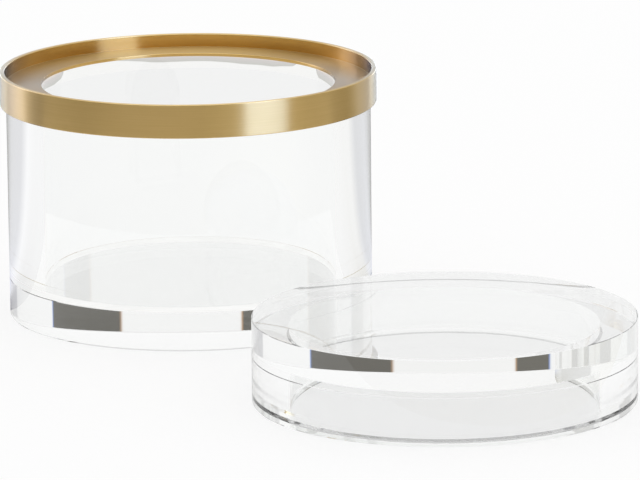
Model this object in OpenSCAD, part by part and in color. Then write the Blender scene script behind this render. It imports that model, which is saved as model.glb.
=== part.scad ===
// Round clear acrylic storage box with a brushed brass collar, and its lid taken off and laid beside it.
// The origin is the centre of the box's underside. Z points up, and the lid lies at the front right.

/* [Box] */
// Outer diameter of the clear tube
tube_d = 145.2; // [90:0.2:220]
// Wall of the clear tube
tube_wall = 14.1; // [6:0.1:24]
// Height of the box, from its underside to the collar's rim
box_h = 98.4; // [60:0.2:200]
// Thickness of the clear base disc
base_t = 15.4; // [8:0.1:26]

/* [Brass collar] */
// Height of the collar
collar_h = 13.2; // [9:0.1:26]
// Wall of the collar where it is bonded round the tube
collar_wall = 2.4; // [2:0.1:5]
// Extra radius that is turned out of the collar above the tube, so the lid has room
seat_relief = 0.5; // [0.2:0.1:0.6]
// Depth of the lid's seat, from the rim down to the seat ring
seat_depth = 5.3; // [2:0.1:7]
// Thickness of the flat brass ring on the tube's end, which carries the lid
seat_ring_t = 1.2; // [0.8:0.1:3]

/* [Lid] */
// Height of the whole lid
lid_h = 32.6; // [24:0.1:60]
// Thickness of the solid disc on top of the lid
lid_disc_t = 14.2; // [6:0.1:20]
// Wall of the ring under the lid disc
lid_ring_wall = 14.1; // [6:0.1:24]
// Gap all round between the lid and the collar's seat
lid_clearance = 0.4; // [0.2:0.1:0.8]

/* [Where the lid lies] */
// Gap on the table between the collar and the lid, where they come closest
lid_gap = 33; // [5:1:200]
// Bearing of the lid from the box, in degrees from straight ahead towards the right
lid_bearing = 33; // [-180:1:180]

/* [Eased edges] */
// Bevel on the clear pieces' outer edges that rest on the table
foot_bevel = 0.6; // [0.2:0.1:1.5]
// Bevel round the top of the lid
lid_top_bevel = 1; // [0.2:0.1:2]
// Bevel on the inner edge of the lid ring's mouth
mouth_bevel = 0.8; // [0.2:0.1:1.5]
// Bevel on each side of a bonded seam, which leaves the fine line that shows there
seam_bevel = 0.3; // [0.1:0.1:0.6]
// Bevel on the edges of the collar and of the seat ring
collar_bevel = 0.4; // [0.1:0.1:0.6]

/* [Hidden] */
$fn = 180;

tube_r = tube_d / 2;
tube_inner_r = tube_r - tube_wall;
seat_z = box_h - seat_depth;
tube_top_z = seat_z - seat_ring_t;

collar_r = tube_r + collar_wall;
seat_r = tube_r + seat_relief;
collar_bottom_z = box_h - collar_h;

lid_r = seat_r - lid_clearance;
lid_ring_inner_r = lid_r - lid_ring_wall;
lid_ring_h = lid_h - lid_disc_t;
lid_distance = collar_r + lid_gap + lid_r;

clear_colour = [0.93, 0.95, 0.96, 0.4];
brass_colour = [0.80, 0.62, 0.34];

// Turns an outline of [radius, height] points round the Z axis
module turned(outline) {
    rotate_extrude()
        polygon(outline);
}

// A solid disc from z = 0 up, with a bevel of its own on each edge
module bevelled_disc(r, h, bottom_bevel, top_bevel) {
    turned([
        [0, 0],
        [r - bottom_bevel, 0],
        [r, bottom_bevel],
        [r, h - top_bevel],
        [r - top_bevel, h],
        [0, h]
    ]);
}

// Places its children where the lid lies on the table
module at_lid() {
    translate([lid_distance * sin(lid_bearing), -lid_distance * cos(lid_bearing), 0])
        children();
}

// Clear floor of the box
module base_disc() {
    color(clear_colour)
        bevelled_disc(tube_r, base_t, foot_bevel, seam_bevel);
}

// Clear wall of the box, bonded to the base disc
module wall_tube() {
    color(clear_colour)
        turned([
            [tube_inner_r, base_t],
            [tube_r - seam_bevel, base_t],
            [tube_r, base_t + seam_bevel],
            [tube_r, tube_top_z],
            [tube_inner_r, tube_top_z]
        ]);
}

// Flat brass ring bonded on the tube's end, inside the collar
module seat_ring() {
    color(brass_colour)
        turned([
            [tube_inner_r, tube_top_z],
            [tube_r, tube_top_z],
            [tube_r, seat_z],
            [tube_inner_r + collar_bevel, seat_z],
            [tube_inner_r, seat_z - collar_bevel]
        ]);
}

// Brass band bonded round the tube and the seat ring, which stands above them and is turned wider there to seat the lid
module brass_collar() {
    color(brass_colour)
        turned([
            [tube_r, collar_bottom_z],
            [collar_r - collar_bevel, collar_bottom_z],
            [collar_r, collar_bottom_z + collar_bevel],
            [collar_r, box_h - collar_bevel],
            [collar_r - collar_bevel, box_h],
            [seat_r + collar_bevel, box_h],
            [seat_r, box_h - collar_bevel],
            [seat_r, seat_z],
            [tube_r, seat_z]
        ]);
}

// Clear solid top of the lid
module lid_disc() {
    color(clear_colour)
        at_lid()
            translate([0, 0, lid_ring_h])
                bevelled_disc(lid_r, lid_disc_t, seam_bevel, lid_top_bevel);
}

// Clear ring bonded under the lid disc, which rests on the table here and on the seat ring when the lid is on
module lid_ring() {
    color(clear_colour)
        at_lid()
            turned([
                [lid_ring_inner_r, mouth_bevel],
                [lid_ring_inner_r + mouth_bevel, 0],
                [lid_r - foot_bevel, 0],
                [lid_r, foot_bevel],
                [lid_r, lid_ring_h - seam_bevel],
                [lid_r - seam_bevel, lid_ring_h],
                [lid_ring_inner_r, lid_ring_h]
            ]);
}

base_disc();
wall_tube();
seat_ring();
brass_collar();
lid_disc();
lid_ring();
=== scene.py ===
"""Round clear acrylic storage box with a brushed brass collar, and its lid standing beside it.

The acrylic pieces and the collar are turned from outlines in mesh code, finer than the CAD solids that they replace,
so that light bends through them as through polished acrylic. Lengths are in metres, in the row frame.
"""

import math

import bpy
from mathutils import Matrix, Vector


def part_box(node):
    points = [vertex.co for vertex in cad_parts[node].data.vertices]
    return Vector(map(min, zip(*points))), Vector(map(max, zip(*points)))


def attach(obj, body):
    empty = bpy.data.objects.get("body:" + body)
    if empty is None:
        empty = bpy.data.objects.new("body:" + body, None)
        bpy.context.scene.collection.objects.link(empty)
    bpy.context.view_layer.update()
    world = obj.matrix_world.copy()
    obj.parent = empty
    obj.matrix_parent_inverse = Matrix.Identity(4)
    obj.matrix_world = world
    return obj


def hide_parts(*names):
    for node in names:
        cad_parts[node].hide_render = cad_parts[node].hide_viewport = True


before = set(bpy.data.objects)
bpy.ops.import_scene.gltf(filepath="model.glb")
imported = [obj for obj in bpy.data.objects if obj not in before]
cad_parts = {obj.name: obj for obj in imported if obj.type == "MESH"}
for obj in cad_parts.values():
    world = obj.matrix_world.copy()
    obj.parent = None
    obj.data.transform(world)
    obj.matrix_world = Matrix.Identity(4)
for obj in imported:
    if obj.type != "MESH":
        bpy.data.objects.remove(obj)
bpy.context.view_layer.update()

MM = 0.001

# The outer sizes come from the CAD nodes. The others repeat the named values of the CAD source.
WALL_LOW, WALL_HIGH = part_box("wall_tube")
BASE_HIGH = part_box("base_disc")[1]
SEAT_LOW, SEAT_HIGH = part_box("seat_ring")
COLLAR_LOW, COLLAR_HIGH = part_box("brass_collar")
LID_LOW, LID_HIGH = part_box("lid_ring")
LID_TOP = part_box("lid_disc")[1].z
TUBE_R = WALL_HIGH.x
TUBE_INNER_R = TUBE_R - 14.1 * MM
COLLAR_R = COLLAR_HIGH.x
SEAT_R = TUBE_R + 0.5 * MM
LID_R = (LID_HIGH.x - LID_LOW.x) / 2
LID_RING_INNER_R = LID_R - 14.1 * MM
LID_AXIS = Vector(((LID_LOW.x + LID_HIGH.x) / 2, (LID_LOW.y + LID_HIGH.y) / 2, 0))

FOOT_BEVEL = 0.6 * MM
LID_TOP_BEVEL = 0.12 * MM
MOUTH_BEVEL = 0.8 * MM
SEAM_BEVEL = 0.15 * MM
COLLAR_EDGE = 0.35 * MM
BOND_GAP = 0.02 * MM

STEPS_ROUND = 720
STEPS_PER_EDGE = 5

# Main slot of a turned piece, the slot of the faces that are bonded to a neighbour, and a further slot of its own
SURFACE, BOND, OTHER = 0, 1, 2


# ---------------------------------------------------------------- node helpers


def new_material(name):
    """A material with a Principled shader, as (material, node tree, shader)."""
    material = bpy.data.materials.new(name)
    material.use_nodes = True
    return material, material.node_tree, material.node_tree.nodes["Principled BSDF"]


def math_node(tree, operation, *values):
    """The output of a Math node on numbers or sockets."""
    node = tree.nodes.new("ShaderNodeMath")
    node.operation = operation
    for socket, value in zip(node.inputs, values):
        if isinstance(value, (int, float)):
            socket.default_value = value
        else:
            tree.links.new(value, socket)
    return node.outputs[0]


def noise(tree, vector, scale, detail=3.0, roughness=0.5):
    """The factor of a Noise texture."""
    node = tree.nodes.new("ShaderNodeTexNoise")
    node.inputs["Scale"].default_value = scale
    node.inputs["Detail"].default_value = detail
    node.inputs["Roughness"].default_value = roughness
    tree.links.new(vector, node.inputs["Vector"])
    return node.outputs["Fac"]


def ramp(tree, factor, stops, interpolation="LINEAR"):
    """The colour of a Color Ramp with (position, colour) stops."""
    node = tree.nodes.new("ShaderNodeValToRGB")
    node.color_ramp.interpolation = interpolation
    elements = node.color_ramp.elements
    while len(elements) < len(stops):
        elements.new(0.5)
    for element, (position, colour) in zip(elements, stops):
        element.position = position
        element.color = (*colour, 1)
    tree.links.new(factor, node.inputs["Fac"])
    return node.outputs["Color"]


def span(tree, value, low, high):
    """A 0 to 1 value stretched from low to high."""
    node = tree.nodes.new("ShaderNodeMapRange")
    node.inputs["To Min"].default_value = low
    node.inputs["To Max"].default_value = high
    tree.links.new(value, node.inputs["Value"])
    return node.outputs["Result"]


def bump(tree, height, distance, strength=1.0):
    """The normal of a Bump node."""
    node = tree.nodes.new("ShaderNodeBump")
    node.inputs["Strength"].default_value = strength
    node.inputs["Distance"].default_value = distance
    tree.links.new(height, node.inputs["Height"])
    return node.outputs["Normal"]


def local_point(tree):
    """The piece's own coordinates, as (vector, x, y, z)."""
    point = tree.nodes.new("ShaderNodeTexCoord").outputs["Object"]
    split = tree.nodes.new("ShaderNodeSeparateXYZ")
    tree.links.new(point, split.inputs[0])
    return point, *split.outputs


def combine(tree, x, y, z):
    """A vector from three sockets."""
    node = tree.nodes.new("ShaderNodeCombineXYZ")
    for socket, value in zip(node.inputs, (x, y, z)):
        tree.links.new(value, socket)
    return node.outputs[0]


# ---------------------------------------------------------------- materials

# The brass's darkest and lightest colour: outside the collar, inside it, and on the seat ring
OUTER_BRASS = (0.77, 0.535, 0.20), (0.83, 0.585, 0.235)
# Inside the collar and on the seat ring the same brass is darker: painted shade for the dim brass-on-brass reflections
# in there
SHADED_BRASS_INSIDE = (0.64, 0.385, 0.10), (0.69, 0.42, 0.12)
SHADED_BRASS_SEAT = (0.68, 0.43, 0.135), (0.73, 0.47, 0.155)

# Share of the lid mouth's bevel that is a dark grey, as painted shade
BEVEL_SHADE_SHARE = 0.4


def clear_acrylic():
    """Thick cast acrylic: clear, with a faint polish ripple and a trace of smudging."""
    material, tree, shader = new_material("clear_acrylic")
    shader.inputs["Base Color"].default_value = (0.985, 0.99, 0.987, 1)
    shader.inputs["IOR"].default_value = 1.49
    shader.inputs["Transmission Weight"].default_value = 1.0
    point = local_point(tree)[0]
    smudges = noise(tree, point, 45, detail=4)
    tree.links.new(span(tree, smudges, 0.0, 0.012), shader.inputs["Roughness"])
    ripple = noise(tree, point, 60, detail=1)
    tree.links.new(bump(tree, ripple, 0.00002, 0.25), shader.inputs["Normal"])
    return material


def shaded_mouth_bevel():
    """Bevel of the lid's mouth, left as cut: half clear, and half a dark grey painted in as the shade along the mouth,
    mottled by the saw's marks.
    """
    material, tree, shader = new_material("shaded_mouth_bevel")
    shader.inputs["IOR"].default_value = 1.49
    shader.inputs["Transmission Weight"].default_value = 1.0
    marks = noise(tree, local_point(tree)[0], 900, detail=2)
    tree.links.new(span(tree, marks, 0.0, 0.1), shader.inputs["Roughness"])
    # A dark grey diffuse part, painted shade along the mouth
    cut = tree.nodes.new("ShaderNodeBsdfDiffuse")
    tree.links.new(ramp(tree, marks, [(0.3, (0.06, 0.06, 0.06)), (0.7, (0.14, 0.14, 0.14))]), cut.inputs["Color"])
    output = tree.nodes["Material Output"]
    tree.links.new(mix_shaders(tree, BEVEL_SHADE_SHARE, shader.outputs[0], cut.outputs[0]), output.inputs["Surface"])
    return material


def clear_bond():
    """Solvent bond between two acrylic faces: nothing of it shows."""
    material, _, shader = new_material("clear_bond")
    shader.inputs["Base Color"].default_value = (1, 1, 1, 1)
    shader.inputs["Alpha"].default_value = 0.0
    return material


def by_bearing(tree, x, y, table):
    """The colour of a table by bearing from straight behind, at a place round the piece's own axis."""
    turn = math_node(tree, "ADD", math_node(tree, "DIVIDE", math_node(tree, "ARCTAN2", x, y), 2 * math.pi), 0.5)
    return ramp(tree, turn, [((bearing + 180) / 360, colour) for bearing, colour in table])


def multiplied(tree, first, second, share):
    """A colour multiplied by another one by a share."""
    mix = tree.nodes.new("ShaderNodeMix")
    mix.data_type = "RGBA"
    mix.blend_type = "MULTIPLY"
    mix.inputs["Factor"].default_value = share
    tree.links.new(first, mix.inputs["A"])
    tree.links.new(second, mix.inputs["B"])
    return mix.outputs["Result"]


def brushed_brass(name, smoothest, roughest, dark, light):
    """Brass, brushed round its axis in fine lines that vary from a dark to a light colour."""
    material, tree, shader = new_material(name)
    point, x, y, z = local_point(tree)
    radius = math_node(tree, "SQRT", math_node(tree, "ADD", math_node(tree, "MULTIPLY", x, x), math_node(tree, "MULTIPLY", y, y)))
    across = math_node(tree, "MULTIPLY", math_node(tree, "ADD", z, radius), 300.0)
    lines_point = combine(tree, math_node(tree, "MULTIPLY", x, 3.0), math_node(tree, "MULTIPLY", y, 3.0), across)
    lines = noise(tree, lines_point, 9, detail=6, roughness=0.65)
    patches = noise(tree, point, 30, detail=3)
    colour = ramp(tree, lines, [(0.3, dark), (0.7, light)])
    colour = multiplied(tree, colour, ramp(tree, patches, [(0.3, (0.93, 0.91, 0.88)), (0.7, (1, 1, 1))]), 0.35)
    tree.links.new(colour, shader.inputs["Base Color"])
    tree.links.new(span(tree, lines, smoothest, roughest), shader.inputs["Roughness"])
    tree.links.new(bump(tree, lines, 0.00002, 0.3), shader.inputs["Normal"])
    shader.inputs["Metallic"].default_value = 1.0
    shader.inputs["Specular Tint"].default_value = (0.62, 0.75, 1.0, 1)
    shader.inputs["Anisotropic"].default_value = 1.0
    shader.inputs["Anisotropic Rotation"].default_value = 0.25
    tangent = tree.nodes.new("ShaderNodeTangent")
    tangent.direction_type = "RADIAL"
    tangent.axis = "Z"
    tree.links.new(tangent.outputs[0], shader.inputs["Tangent"])
    return material


# How far down the collar's bonded face the adhesive shows grey, in millimetres, by bearing from straight behind
PASTE_DEPTH = [
    (-180, 4.3), (-100, 5), (-81, 6.5), (-60, 6.5), (-54, 4.5), (-52, 0), (-30, 0), (-28, 2.0), (-22, 2.8), (-14, 4.2),
    (0, 4.3), (30, 4.5), (40, 3.2), (44, 0), (52, 0), (54, 5.5), (66, 6.5), (80, 6.5), (100, 5), (180, 4.3),
]
PASTE_SPAN = 8.0


def bonding_paste():
    """Milky adhesive behind the collar, glowing as painted light: brownish at its top edge, then grey down to a depth
    that changes round the collar, and near white below.
    """
    material, tree, shader = new_material("bonding_paste")
    point, x, y, z = local_point(tree)
    limit = by_bearing(tree, x, y, [(b, (d / PASTE_SPAN,) * 3) for b, d in PASTE_DEPTH])
    waves = span(tree, noise(tree, point, 35, detail=2), -0.12, 0.12)
    limit = math_node(tree, "MAXIMUM", math_node(tree, "ADD", limit, waves), 0.01)
    depth = math_node(tree, "MULTIPLY", math_node(tree, "SUBTRACT", SEAT_LOW.z, z), 1 / (PASTE_SPAN * MM))
    share = math_node(tree, "MULTIPLY", math_node(tree, "DIVIDE", depth, limit), 0.5)
    stops = [
        (0.06, (0.50, 0.42, 0.28)),
        (0.16, (0.86, 0.77, 0.68)),
        (0.26, (0.64, 0.61, 0.60)),
        (0.47, (0.57, 0.57, 0.54)),
        (0.5, (0.90, 0.90, 0.89)),
    ]
    painted_glow(tree, shader, ramp(tree, share, stops))
    return material


def painted_glow(tree, shader, colour):
    """Makes a translucent layer between clear pieces glow in its colour, as painted light that stands in for the light
    that comes through them.
    """
    shader.inputs["Base Color"].default_value = (0.05, 0.05, 0.05, 1)
    shader.inputs["Roughness"].default_value = 0.6
    shader.inputs["Specular IOR Level"].default_value = 0.0
    shader.inputs["Emission Strength"].default_value = 1.0
    tree.links.new(colour, shader.inputs["Emission Color"])


def seam_glue():
    """Thin milky glue between the wall and the floor, glowing near white as painted light."""
    material, tree, shader = new_material("seam_glue")
    clouds = noise(tree, local_point(tree)[0], 60, detail=3)
    painted_glow(tree, shader, ramp(tree, clouds, [(0.3, (0.90, 0.90, 0.89)), (0.7, (0.96, 0.96, 0.95))]))
    return material


# ---------------------------------------------------------------- turned pieces


def corner_points(before, corner, after, edge, rounded):
    """Points with normals round one corner of an outline, as [(point, normal)], for a fillet or a flat bevel that takes edge off each side."""
    into, out = (corner - before).normalized(), (after - corner).normalized()
    n_in, n_out = Vector((into.y, -into.x)), Vector((out.y, -out.x))
    if edge <= 0:
        return [(corner, n_in), (corner, n_out)]
    start, end = corner - into * edge, corner + out * edge
    if not rounded:
        across = (end - start).normalized()
        normal = Vector((across.y, -across.x))
        return [(start, n_in), (start, normal), (end, normal), (end, n_out)]
    turn = into.angle_signed(out)
    radius = edge / math.tan((math.pi - abs(turn)) / 2) if abs(turn) > 1e-6 else 0
    side = 1 if into.cross(out) > 0 else -1
    centre = start - n_in * radius * side
    points = []
    for step in range(STEPS_PER_EDGE + 1):
        share = step / STEPS_PER_EDGE
        normal = n_in.slerp(n_out, share) if 0 < share < 1 else (n_in, n_out)[share >= 1]
        point = centre + normal * radius * side
        points.append((point if 0 < share < 1 else (start, end)[share >= 1], normal))
    return points


def outline_strips(corners, rounded):
    """Strips [(start, end, start normal, end normal, slot)] of a closed outline of (radius, z, edge, slot of the side that follows), anticlockwise."""
    places = [Vector(c[:2]) for c in corners]
    arcs = [
        corner_points(places[i - 1], places[i], places[(i + 1) % len(places)], c[2], rounded)
        for i, c in enumerate(corners)
    ]
    strips = []
    for i, arc in enumerate(arcs):
        slot = corners[i][3]
        for (p, n), (q, m) in zip(arc, arc[1:]):
            if (p - q).length > 1e-9:
                strips.append((p, q, n, m, SURFACE))
        (p, n), (q, m) = arc[-1], arcs[(i + 1) % len(arcs)][0]
        if max(p.x, q.x) > 1e-9 and (p - q).length > 1e-9:
            strips.append((p, q, n, m, slot))
    return strips


def turned(name, corners, materials, axis=Vector((0, 0, 0)), rounded=False):
    """A piece turned round the vertical through axis from an outline, with exact normals along its flats and edges."""
    strips = outline_strips(corners, rounded)
    vertices, faces, slots, normals, rings = [], [], [], [], {}
    turns = [(math.cos(2 * math.pi * i / STEPS_ROUND), math.sin(2 * math.pi * i / STEPS_ROUND)) for i in range(STEPS_ROUND)]

    def ring(point):
        key = (round(point.x * 1e7), round(point.y * 1e7))
        if key not in rings:
            first = len(vertices)
            if key[0] == 0:
                vertices.append((0, 0, point.y))
                rings[key] = [first] * STEPS_ROUND
            else:
                vertices.extend((point.x * c, point.x * s, point.y) for c, s in turns)
                rings[key] = list(range(first, first + STEPS_ROUND))
        return rings[key]

    for start, end, start_normal, end_normal, slot in strips:
        low, high = ring(start), ring(end)
        for i in range(STEPS_ROUND):
            j = (i + 1) % STEPS_ROUND
            around = [(low[i], i, start_normal), (low[j], j, start_normal), (high[j], j, end_normal), (high[i], i, end_normal)]
            kept = [c for k, c in enumerate(around) if c[0] != around[k - 1][0]]
            faces.append([c[0] for c in kept])
            slots.append(slot)
            for _, turn, normal in kept:
                normals.append((normal.x * turns[turn][0], normal.x * turns[turn][1], normal.y))
    mesh = bpy.data.meshes.new(name)
    mesh.from_pydata(vertices, [], faces)
    for material in materials:
        mesh.materials.append(material)
    mesh.polygons.foreach_set("material_index", slots)
    mesh.polygons.foreach_set("use_smooth", [True] * len(faces))
    mesh.update()
    mesh.normals_split_custom_set(normals)
    piece = bpy.data.objects.new(name, mesh)
    piece.location = axis
    bpy.context.scene.collection.objects.link(piece)
    return piece


def stand_for(piece, body, node):
    """Puts a piece on its body in place of its CAD node."""
    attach(piece, body)
    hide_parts(node)
    return piece


def make_base(acrylic, bond):
    """Clear floor of the box."""
    corners = [
        (0, 0, 0, SURFACE),
        (TUBE_R, 0, FOOT_BEVEL, SURFACE),
        (TUBE_R, BASE_HIGH.z, SEAM_BEVEL, SURFACE),
        (0, BASE_HIGH.z, 0, SURFACE),
    ]
    stand_for(turned("acrylic_base", corners, [acrylic, bond]), "box", "base_disc")


def make_wall(acrylic, bond, glue):
    """Clear wall of the box, glued on the floor and bonded to the seat ring and the collar."""
    corners = [
        (TUBE_INNER_R, BASE_HIGH.z + BOND_GAP, 0, OTHER),
        (TUBE_R, BASE_HIGH.z + BOND_GAP, SEAM_BEVEL, SURFACE),
        (TUBE_R, COLLAR_LOW.z, 0, BOND),
        (TUBE_R, WALL_HIGH.z, 0, BOND),
        (TUBE_INNER_R, WALL_HIGH.z, 0, SURFACE),
    ]
    stand_for(turned("acrylic_wall", corners, [acrylic, bond, glue]), "box", "wall_tube")


def make_seat_ring(brass, paste):
    """Flat brass ring on the tube's end, which carries the lid."""
    low = SEAT_LOW.z + BOND_GAP
    corners = [
        (TUBE_INNER_R, low, 0, BOND),
        (TUBE_R, low, 0, SURFACE),
        (TUBE_R, SEAT_HIGH.z, 0, SURFACE),
        (TUBE_INNER_R, SEAT_HIGH.z, COLLAR_EDGE, SURFACE),
    ]
    piece = turned("brushed_seat", corners, [brass, paste], rounded=True)
    return stand_for(piece, "box", "seat_ring")


def make_collar(brass, paste, shaded_brass_inside):
    """Brass collar, with the seat for the lid turned out above the seat ring."""
    bonded_r = TUBE_R + BOND_GAP
    corners = [
        (bonded_r, COLLAR_LOW.z, 0, SURFACE),
        (COLLAR_R, COLLAR_LOW.z, COLLAR_EDGE, SURFACE),
        (COLLAR_R, COLLAR_HIGH.z, COLLAR_EDGE, SURFACE),
        (SEAT_R, COLLAR_HIGH.z, COLLAR_EDGE, OTHER),
        (SEAT_R, SEAT_HIGH.z, 0, SURFACE),
        (bonded_r, SEAT_HIGH.z, 0, BOND),
    ]
    piece = turned("brushed_collar", corners, [brass, paste, shaded_brass_inside], rounded=True)
    return stand_for(piece, "box", "brass_collar")


def make_lid_disc(acrylic, bond):
    """Solid clear top of the lid."""
    low = LID_HIGH.z
    corners = [
        (0, low, 0, SURFACE),
        (LID_RING_INNER_R, low, 0, BOND),
        (LID_R, low, SEAM_BEVEL, SURFACE),
        (LID_R, LID_TOP, LID_TOP_BEVEL, SURFACE),
        (0, LID_TOP, 0, SURFACE),
    ]
    stand_for(turned("acrylic_lid_disc", corners, [acrylic, bond], LID_AXIS), "lid", "lid_disc")


def make_lid_ring(acrylic, bond, bevel):
    """Clear ring bonded under the lid's top."""
    corners = [
        (LID_RING_INNER_R, MOUTH_BEVEL, 0, OTHER),
        (LID_RING_INNER_R + MOUTH_BEVEL, 0, 0, SURFACE),
        (LID_R, 0, FOOT_BEVEL, SURFACE),
        (LID_R, LID_HIGH.z, SEAM_BEVEL, BOND),
        (LID_RING_INNER_R, LID_HIGH.z, 0, SURFACE),
    ]
    piece = turned("acrylic_lid_ring", corners, [acrylic, bond, bevel], LID_AXIS)
    stand_for(piece, "lid", "lid_ring")


# ---------------------------------------------------------------- studio

# The studio's surroundings, as a tent wall of this radius round the object. Bearings are in degrees from the camera's
# side, positive to the right, so 180 is straight behind the object.
TENT_R = 3.0
TENT_H = 2.4

# What is mirrored all round of the floor and of the studio over it, with the lamps left out
MIRRORED_FLOOR = [
    (-180, (0.25, 0.25, 0.25)),
    (-150, (0.30, 0.30, 0.30)),
    (-140, (0.60, 0.61, 0.65)),
    (-119, (0.82, 0.84, 0.98)),
    (-112, (0.82, 0.83, 0.92)),
    (-105, (0.42, 0.42, 0.47)),
    (-99, (0.27, 0.27, 0.32)),
    (-61, (0.25, 0.22, 0.20)),
    (-30, (0.38, 0.34, 0.31)),
    (0, (0.40, 0.36, 0.31)),
    (11, (0.45, 0.41, 0.33)),
    (26, (0.55, 0.51, 0.41)),
    (34, (0.72, 0.68, 0.55)),
    (60, (0.76, 0.70, 0.55)),
    (66, (0.66, 0.62, 0.52)),
    (72, (0.50, 0.47, 0.41)),
    (80, (0.42, 0.39, 0.34)),
    (90, (0.44, 0.43, 0.43)),
    (107, (0.28, 0.25, 0.17)),
    (115, (0.42, 0.41, 0.38)),
    (120, (0.60, 0.63, 0.74)),
    (137, (0.72, 0.74, 0.82)),
    (150, (0.30, 0.30, 0.30)),
    (180, (0.25, 0.25, 0.25)),
]
MIRRORED_STUDIO = [
    (-180, (0.92, 0.92, 0.92)),
    (-130, (0.92, 0.92, 0.92)),
    (-100, (0.60, 0.60, 0.60)),
    (-66, (0.20, 0.20, 0.20)),
    (0, (0.22, 0.21, 0.20)),
    (47, (0.35, 0.34, 0.33)),
    (70, (0.25, 0.25, 0.25)),
    (100, (0.60, 0.60, 0.60)),
    (130, (0.92, 0.92, 0.92)),
    (180, (0.92, 0.92, 0.92)),
]

# Lamps for the brass alone: name, bearing, distance, lowest and highest point, width, radiance
BRASS_LAMPS = [
    ("strip_light", 48.3, 1.3, 0.05, 1.3, 0.62, (1.65, 2.65, 6.5)),
    ("window_light", -125.0, 1.3, 0.05, 1.2, 0.50, (1.35, 1.6, 2.9)),
    ("back_left_light", -158.0, 1.3, 0.0, 0.22, 0.90, (3.7, 3.9, 4.3)),
    ("back_right_light", 160.0, 1.3, 0.0, 0.22, 0.86, (3.7, 4.1, 4.7)),
]
TOP_LAMP_HEIGHT = 1.2
TOP_LAMP_WIDTH = 1.4
TOP_LAMP = (0.5, 0.7, 1.2)

# What the clear pieces show of the half behind the object, by angle from straight behind, to the left and to the right
WHITE = (0.92, 0.92, 0.915)
DARK = (0.12, 0.115, 0.10)
AMBER, BLUE = (0.50, 0.33, 0.20), (0.22, 0.32, 0.62)
BEHIND_LEFT = [
    (0, WHITE),
    (11.2, WHITE),
    (11.55, AMBER),
    (11.9, DARK),
    (19.7, DARK),
    (20.1, BLUE),
    (20.5, (0.93, 0.93, 0.93)),
    (26.3, (0.93, 0.93, 0.93)),
    (27.0, (0.74, 0.70, 0.68)),
    (28.0, (0.74, 0.74, 0.76)),
    (29.0, (0.93, 0.93, 0.92)),
    (32.5, (0.93, 0.93, 0.92)),
    (32.8, (0.45, 0.45, 0.47)),
    (43.1, (0.45, 0.45, 0.47)),
    (43.4, (1.15, 1.15, 1.15)),
    (64.0, (1.15, 1.15, 1.15)),
    (64.5, (0.58, 0.58, 0.60)),
    (90, (0.50, 0.50, 0.50)),
]
BEHIND_RIGHT = [
    (0, WHITE),
    (13.2, WHITE),
    (13.55, AMBER),
    (13.9, DARK),
    (35.1, DARK),
    (35.5, BLUE),
    (35.9, (0.94, 0.94, 0.94)),
    (64.9, (0.94, 0.94, 0.94)),
    (65.4, (0.58, 0.58, 0.60)),
    (90, (0.50, 0.50, 0.50)),
]
CLEAR_FRONT = (0.9, 0.9, 0.9)

# The dark things show fully in the discs' sides, three bounces deep, and faintly in deeper reflections
DARK_HALF_ANGLE = 90.0
DARK_DEPTH = 3.5
DEEP_LEVEL = 0.35

# Heights between which the dark room over the white sweep shows, in rays that pass few faces
SWEEP_TOP = 0.88
DARK_ROOM_TOP = 1.25
DARK_ROOM = (0.15, 0.15, 0.15)

FLOOR_HALF = 20.0
FLOOR_DROP = 0.05 * MM
FLOOR_GLOW = 0.82
NEAR_FLOOR_R = 0.28

# How much darker the floor looks behind one acrylic wall, and behind the tube's edges
ONE_WALL_DIMMED = 0.09
EDGE_DIMMED = 0.26
EDGE_ANGLES = (36.0, 46.0)


def emission(tree, colour, strength=1.0):
    """An Emission shader of a colour or a colour socket."""
    node = tree.nodes.new("ShaderNodeEmission")
    node.inputs["Strength"].default_value = strength
    if isinstance(colour, tuple):
        node.inputs["Color"].default_value = (*colour, 1)
    else:
        tree.links.new(colour, node.inputs["Color"])
    return node.outputs[0]


def mix_shaders(tree, factor, first, second):
    """The output of a Mix Shader."""
    node = tree.nodes.new("ShaderNodeMixShader")
    if isinstance(factor, (int, float)):
        node.inputs[0].default_value = factor
    else:
        tree.links.new(factor, node.inputs[0])
    tree.links.new(first, node.inputs[1])
    tree.links.new(second, node.inputs[2])
    return node.outputs[0]


def plain_mesh(name, vertices, faces, material):
    """A mesh object that belongs to the studio."""
    mesh = bpy.data.meshes.new(name)
    mesh.from_pydata(vertices, [], faces)
    mesh.materials.append(material)
    thing = bpy.data.objects.new(name, mesh)
    bpy.context.scene.collection.objects.link(thing)
    return thing


def mirrored_ray(tree):
    """1 for a ray that was mirrored, which in Cycles is glossy and not transmitted, as (that, transmitted)."""
    path = tree.nodes.new("ShaderNodeLightPath")
    through = path.outputs["Is Transmission Ray"]
    return math_node(tree, "SUBTRACT", path.outputs["Is Glossy Ray"], through), through, path.outputs["Is Camera Ray"]


def mirrored_surroundings(tree, x, y, table):
    """What is mirrored at a place round the object, from a table by bearing."""
    bearing = math_node(tree, "ARCTAN2", x, math_node(tree, "MULTIPLY", y, -1.0))
    turn = math_node(tree, "ADD", math_node(tree, "DIVIDE", bearing, 2 * math.pi), 0.5)
    return emission(tree, ramp(tree, turn, [((b + 180) / 360, colour) for b, colour in table]))


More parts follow.
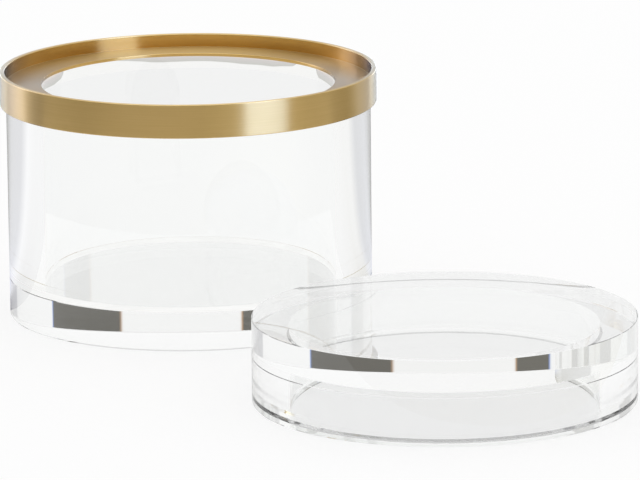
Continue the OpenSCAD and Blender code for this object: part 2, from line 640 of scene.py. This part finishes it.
def clear_surroundings(tree, x, y, z):
    """What the clear pieces show at a place round the object."""
    angle = math_node(tree, "ARCTAN2", math_node(tree, "ABSOLUTE", x), y)
    quarter = math_node(tree, "DIVIDE", angle, math.pi / 2)
    left, right = (
        emission(tree, ramp(tree, quarter, [(a / 90, c) for a, c in side])) for side in (BEHIND_LEFT, BEHIND_RIGHT)
    )
    behind = mix_shaders(tree, math_node(tree, "GREATER_THAN", x, 0.0), left, right)
    deep = math_node(tree, "GREATER_THAN", tree.nodes.new("ShaderNodeLightPath").outputs["Ray Depth"], DARK_DEPTH)
    near_back = math_node(tree, "LESS_THAN", angle, math.radians(DARK_HALF_ANGLE))
    plain = math_node(tree, "MULTIPLY", math_node(tree, "MULTIPLY", near_back, deep), 1 - DEEP_LEVEL)
    behind = mix_shaders(tree, plain, behind, emission(tree, WHITE))
    over_sweep, under_top = math_node(tree, "GREATER_THAN", z, SWEEP_TOP), math_node(tree, "LESS_THAN", z, DARK_ROOM_TOP)
    room = math_node(tree, "MULTIPLY", math_node(tree, "MULTIPLY", over_sweep, under_top), math_node(tree, "SUBTRACT", 1.0, deep))
    behind = mix_shaders(tree, room, behind, emission(tree, DARK_ROOM))
    return mix_shaders(tree, math_node(tree, "GREATER_THAN", y, 0.0), emission(tree, CLEAR_FRONT), behind)


def dimmed_share(tree, through, x, y):
    """How much the floor is dimmed behind one acrylic wall, and where that wall's inside turned the light back once."""
    path = tree.nodes.new("ShaderNodeLightPath")
    one_wall = math_node(tree, "MULTIPLY", through, math_node(tree, "LESS_THAN", path.outputs["Transmission Depth"], 2.5))
    once = math_node(tree, "COMPARE", path.outputs["Glossy Depth"], 1.0, 0.5)
    straight = math_node(tree, "COMPARE", path.outputs["Glossy Depth"], 0.0, 0.5)
    edge = tree.nodes.new("ShaderNodeMapRange")
    edge.inputs["From Min"].default_value, edge.inputs["From Max"].default_value = map(math.radians, EDGE_ANGLES)
    edge.inputs["To Min"].default_value, edge.inputs["To Max"].default_value = EDGE_DIMMED, 0.0
    tree.links.new(math_node(tree, "ARCTAN2", math_node(tree, "ABSOLUTE", x), y), edge.inputs["Value"])
    at_edge = math_node(tree, "MULTIPLY", once, edge.outputs["Result"])
    share = math_node(tree, "ADD", at_edge, math_node(tree, "MULTIPLY", straight, ONE_WALL_DIMMED))
    return math_node(tree, "MULTIPLY", one_wall, share)


def make_floor():
    """White floor that keeps the object's soft shadow. In mirrored rays it repeats the surroundings."""
    material, tree, _ = new_material("studio_floor")
    tree.nodes.clear()
    output = tree.nodes.new("ShaderNodeOutputMaterial")
    pale = tree.nodes.new("ShaderNodeBsdfDiffuse")
    pale.inputs["Color"].default_value = (0.93, 0.93, 0.93, 1)
    seen = mix_shaders(tree, FLOOR_GLOW, pale.outputs[0], emission(tree, (1.0, 1.0, 1.0)))
    mirrored, through, camera = mirrored_ray(tree)
    lit = mix_shaders(tree, math_node(tree, "MAXIMUM", camera, through), pale.outputs[0], seen)
    _, x, y, _ = local_point(tree)
    lit = mix_shaders(tree, dimmed_share(tree, through, x, y), lit, emission(tree, (0.0, 0.0, 0.0)))
    squares = math_node(tree, "ADD", math_node(tree, "MULTIPLY", x, x), math_node(tree, "MULTIPLY", y, y))
    far = math_node(tree, "GREATER_THAN", squares, NEAR_FLOOR_R**2)
    far = math_node(tree, "MAXIMUM", far, math_node(tree, "GREATER_THAN", y, 0.0))
    mirrored = math_node(tree, "MULTIPLY", mirrored, far)
    tree.links.new(mix_shaders(tree, mirrored, lit, mirrored_surroundings(tree, x, y, MIRRORED_FLOOR)), output.inputs[0])
    h = FLOOR_HALF
    corners = [(-h, -h, -FLOOR_DROP), (h, -h, -FLOOR_DROP), (h, h, -FLOOR_DROP), (-h, h, -FLOOR_DROP)]
    plain_mesh("studio_floor", corners, [(0, 1, 2, 3)], material)


def make_tent():
    """The studio's surroundings, which only the acrylic and the brass see."""
    material, tree, _ = new_material("studio_tent")
    tree.nodes.clear()
    output = tree.nodes.new("ShaderNodeOutputMaterial")
    _, x, y, z = local_point(tree)
    surroundings = clear_surroundings(tree, x, y, z), mirrored_surroundings(tree, x, y, MIRRORED_STUDIO)
    tree.links.new(mix_shaders(tree, mirrored_ray(tree)[0], *surroundings), output.inputs[0])
    steps = 128
    vertices = []
    for i in range(steps):
        a = 2 * math.pi * i / steps
        vertices += [(TENT_R * math.cos(a), TENT_R * math.sin(a), z) for z in (0, TENT_H)]
    faces = [(2 * i, 2 * ((i + 1) % steps), 2 * ((i + 1) % steps) + 1, 2 * i + 1) for i in range(steps)]
    tent = plain_mesh("studio_tent", vertices, faces, material)
    tent.visible_camera = tent.visible_diffuse = tent.visible_shadow = False


def brass_lamp(name, place, target, width, height, radiance, receivers):
    """A rectangular lamp that lights the receivers alone."""
    lamp = bpy.data.lights.new(name, "AREA")
    lamp.shape = "RECTANGLE"
    lamp.size, lamp.size_y = width, height
    brightest = max(radiance)
    lamp.color = [c / brightest for c in radiance]
    lamp.energy = brightest * math.pi * width * height
    thing = bpy.data.objects.new(name, lamp)
    bpy.context.scene.collection.objects.link(thing)
    thing.location = place
    thing.rotation_euler = (target - place).to_track_quat("-Z", "Y").to_euler()
    thing.light_linking.receiver_collection = receivers


def make_brass_lamps(pieces):
    """The studio's lamps, which light the brass."""
    receivers = bpy.data.collections.new("brass_pieces")
    for piece in pieces:
        receivers.objects.link(piece)
    for name, bearing, distance, low, high, width, radiance in BRASS_LAMPS:
        a = math.radians(bearing)
        middle = (low + high) / 2
        place = Vector((distance * math.sin(a), -distance * math.cos(a), middle))
        brass_lamp(name, place, Vector((0, 0, middle)), width, high - low, radiance, receivers)
    over = Vector((0, 0, TOP_LAMP_HEIGHT))
    brass_lamp("top_light", over, Vector((0, 0.0001, 0)), TOP_LAMP_WIDTH, TOP_LAMP_WIDTH, TOP_LAMP, receivers)


def make_world():
    """Plain white light from all round."""
    world = bpy.data.worlds.new("studio")
    bpy.context.scene.world = world
    world.use_nodes = True
    world.node_tree.nodes["Background"].inputs["Color"].default_value = (1, 1, 1, 1)
    world.node_tree.nodes["Background"].inputs["Strength"].default_value = 1.0


# The photograph's camera, found from the ellipses of the box and the lid
FOCAL_PX = 6050.5
FRAME_WIDTH_PX = 640
SENSOR = 36.0
CAMERA_PLACE = Vector((0.0519, -2.3648, 0.5610))
CAMERA_PITCH = 0.2218
CAMERA_ROLL = -0.0096


def make_camera():
    """The camera at the photograph's angle."""
    camera = bpy.data.cameras.new("camera")
    thing = bpy.data.objects.new("camera", camera)
    bpy.context.scene.collection.objects.link(thing)
    ahead = Vector((0, math.cos(CAMERA_PITCH), -math.sin(CAMERA_PITCH)))
    right = Vector((1, 0, 0))
    up = right.cross(ahead)
    c, s = math.cos(CAMERA_ROLL), math.sin(CAMERA_ROLL)
    right, up = right * c + up * s, up * c - right * s
    rows = [(right[i], up[i], -ahead[i], CAMERA_PLACE[i]) for i in range(3)]
    thing.matrix_world = Matrix((*rows, (0, 0, 0, 1)))
    camera.sensor_width = SENSOR
    camera.lens = FOCAL_PX * SENSOR / FRAME_WIDTH_PX
    camera.clip_start, camera.clip_end = 0.01, 100
    bpy.context.scene.camera = thing


def set_up_view():
    """Plain view transform, and enough bounces for light to cross all the acrylic faces."""
    scene = bpy.context.scene
    scene.view_settings.view_transform = "Standard"
    scene.cycles.max_bounces = 32
    scene.cycles.transmission_bounces = 32
    scene.cycles.glossy_bounces = 16
    scene.cycles.transparent_max_bounces = 64


def main():
    acrylic, bond, glue, paste = clear_acrylic(), clear_bond(), seam_glue(), bonding_paste()
    outer_brass = brushed_brass("brushed_brass", 0.28, 0.36, *OUTER_BRASS)
    # Darker copies of the brass inside the collar and on the seat ring, as painted shade
    shaded_brass_inside = brushed_brass("brass_painted_shade_inside", 0.18, 0.26, *SHADED_BRASS_INSIDE)
    shaded_brass_seat = brushed_brass("brass_painted_shade_seat", 0.25, 0.33, *SHADED_BRASS_SEAT)
    make_base(acrylic, bond)
    make_wall(acrylic, bond, glue)
    brass_pieces = make_seat_ring(shaded_brass_seat, paste), make_collar(outer_brass, paste, shaded_brass_inside)
    make_lid_disc(acrylic, bond)
    make_lid_ring(acrylic, bond, shaded_mouth_bevel())
    make_floor()
    make_tent()
    make_brass_lamps(brass_pieces)
    make_world()
    make_camera()
    set_up_view()


main()
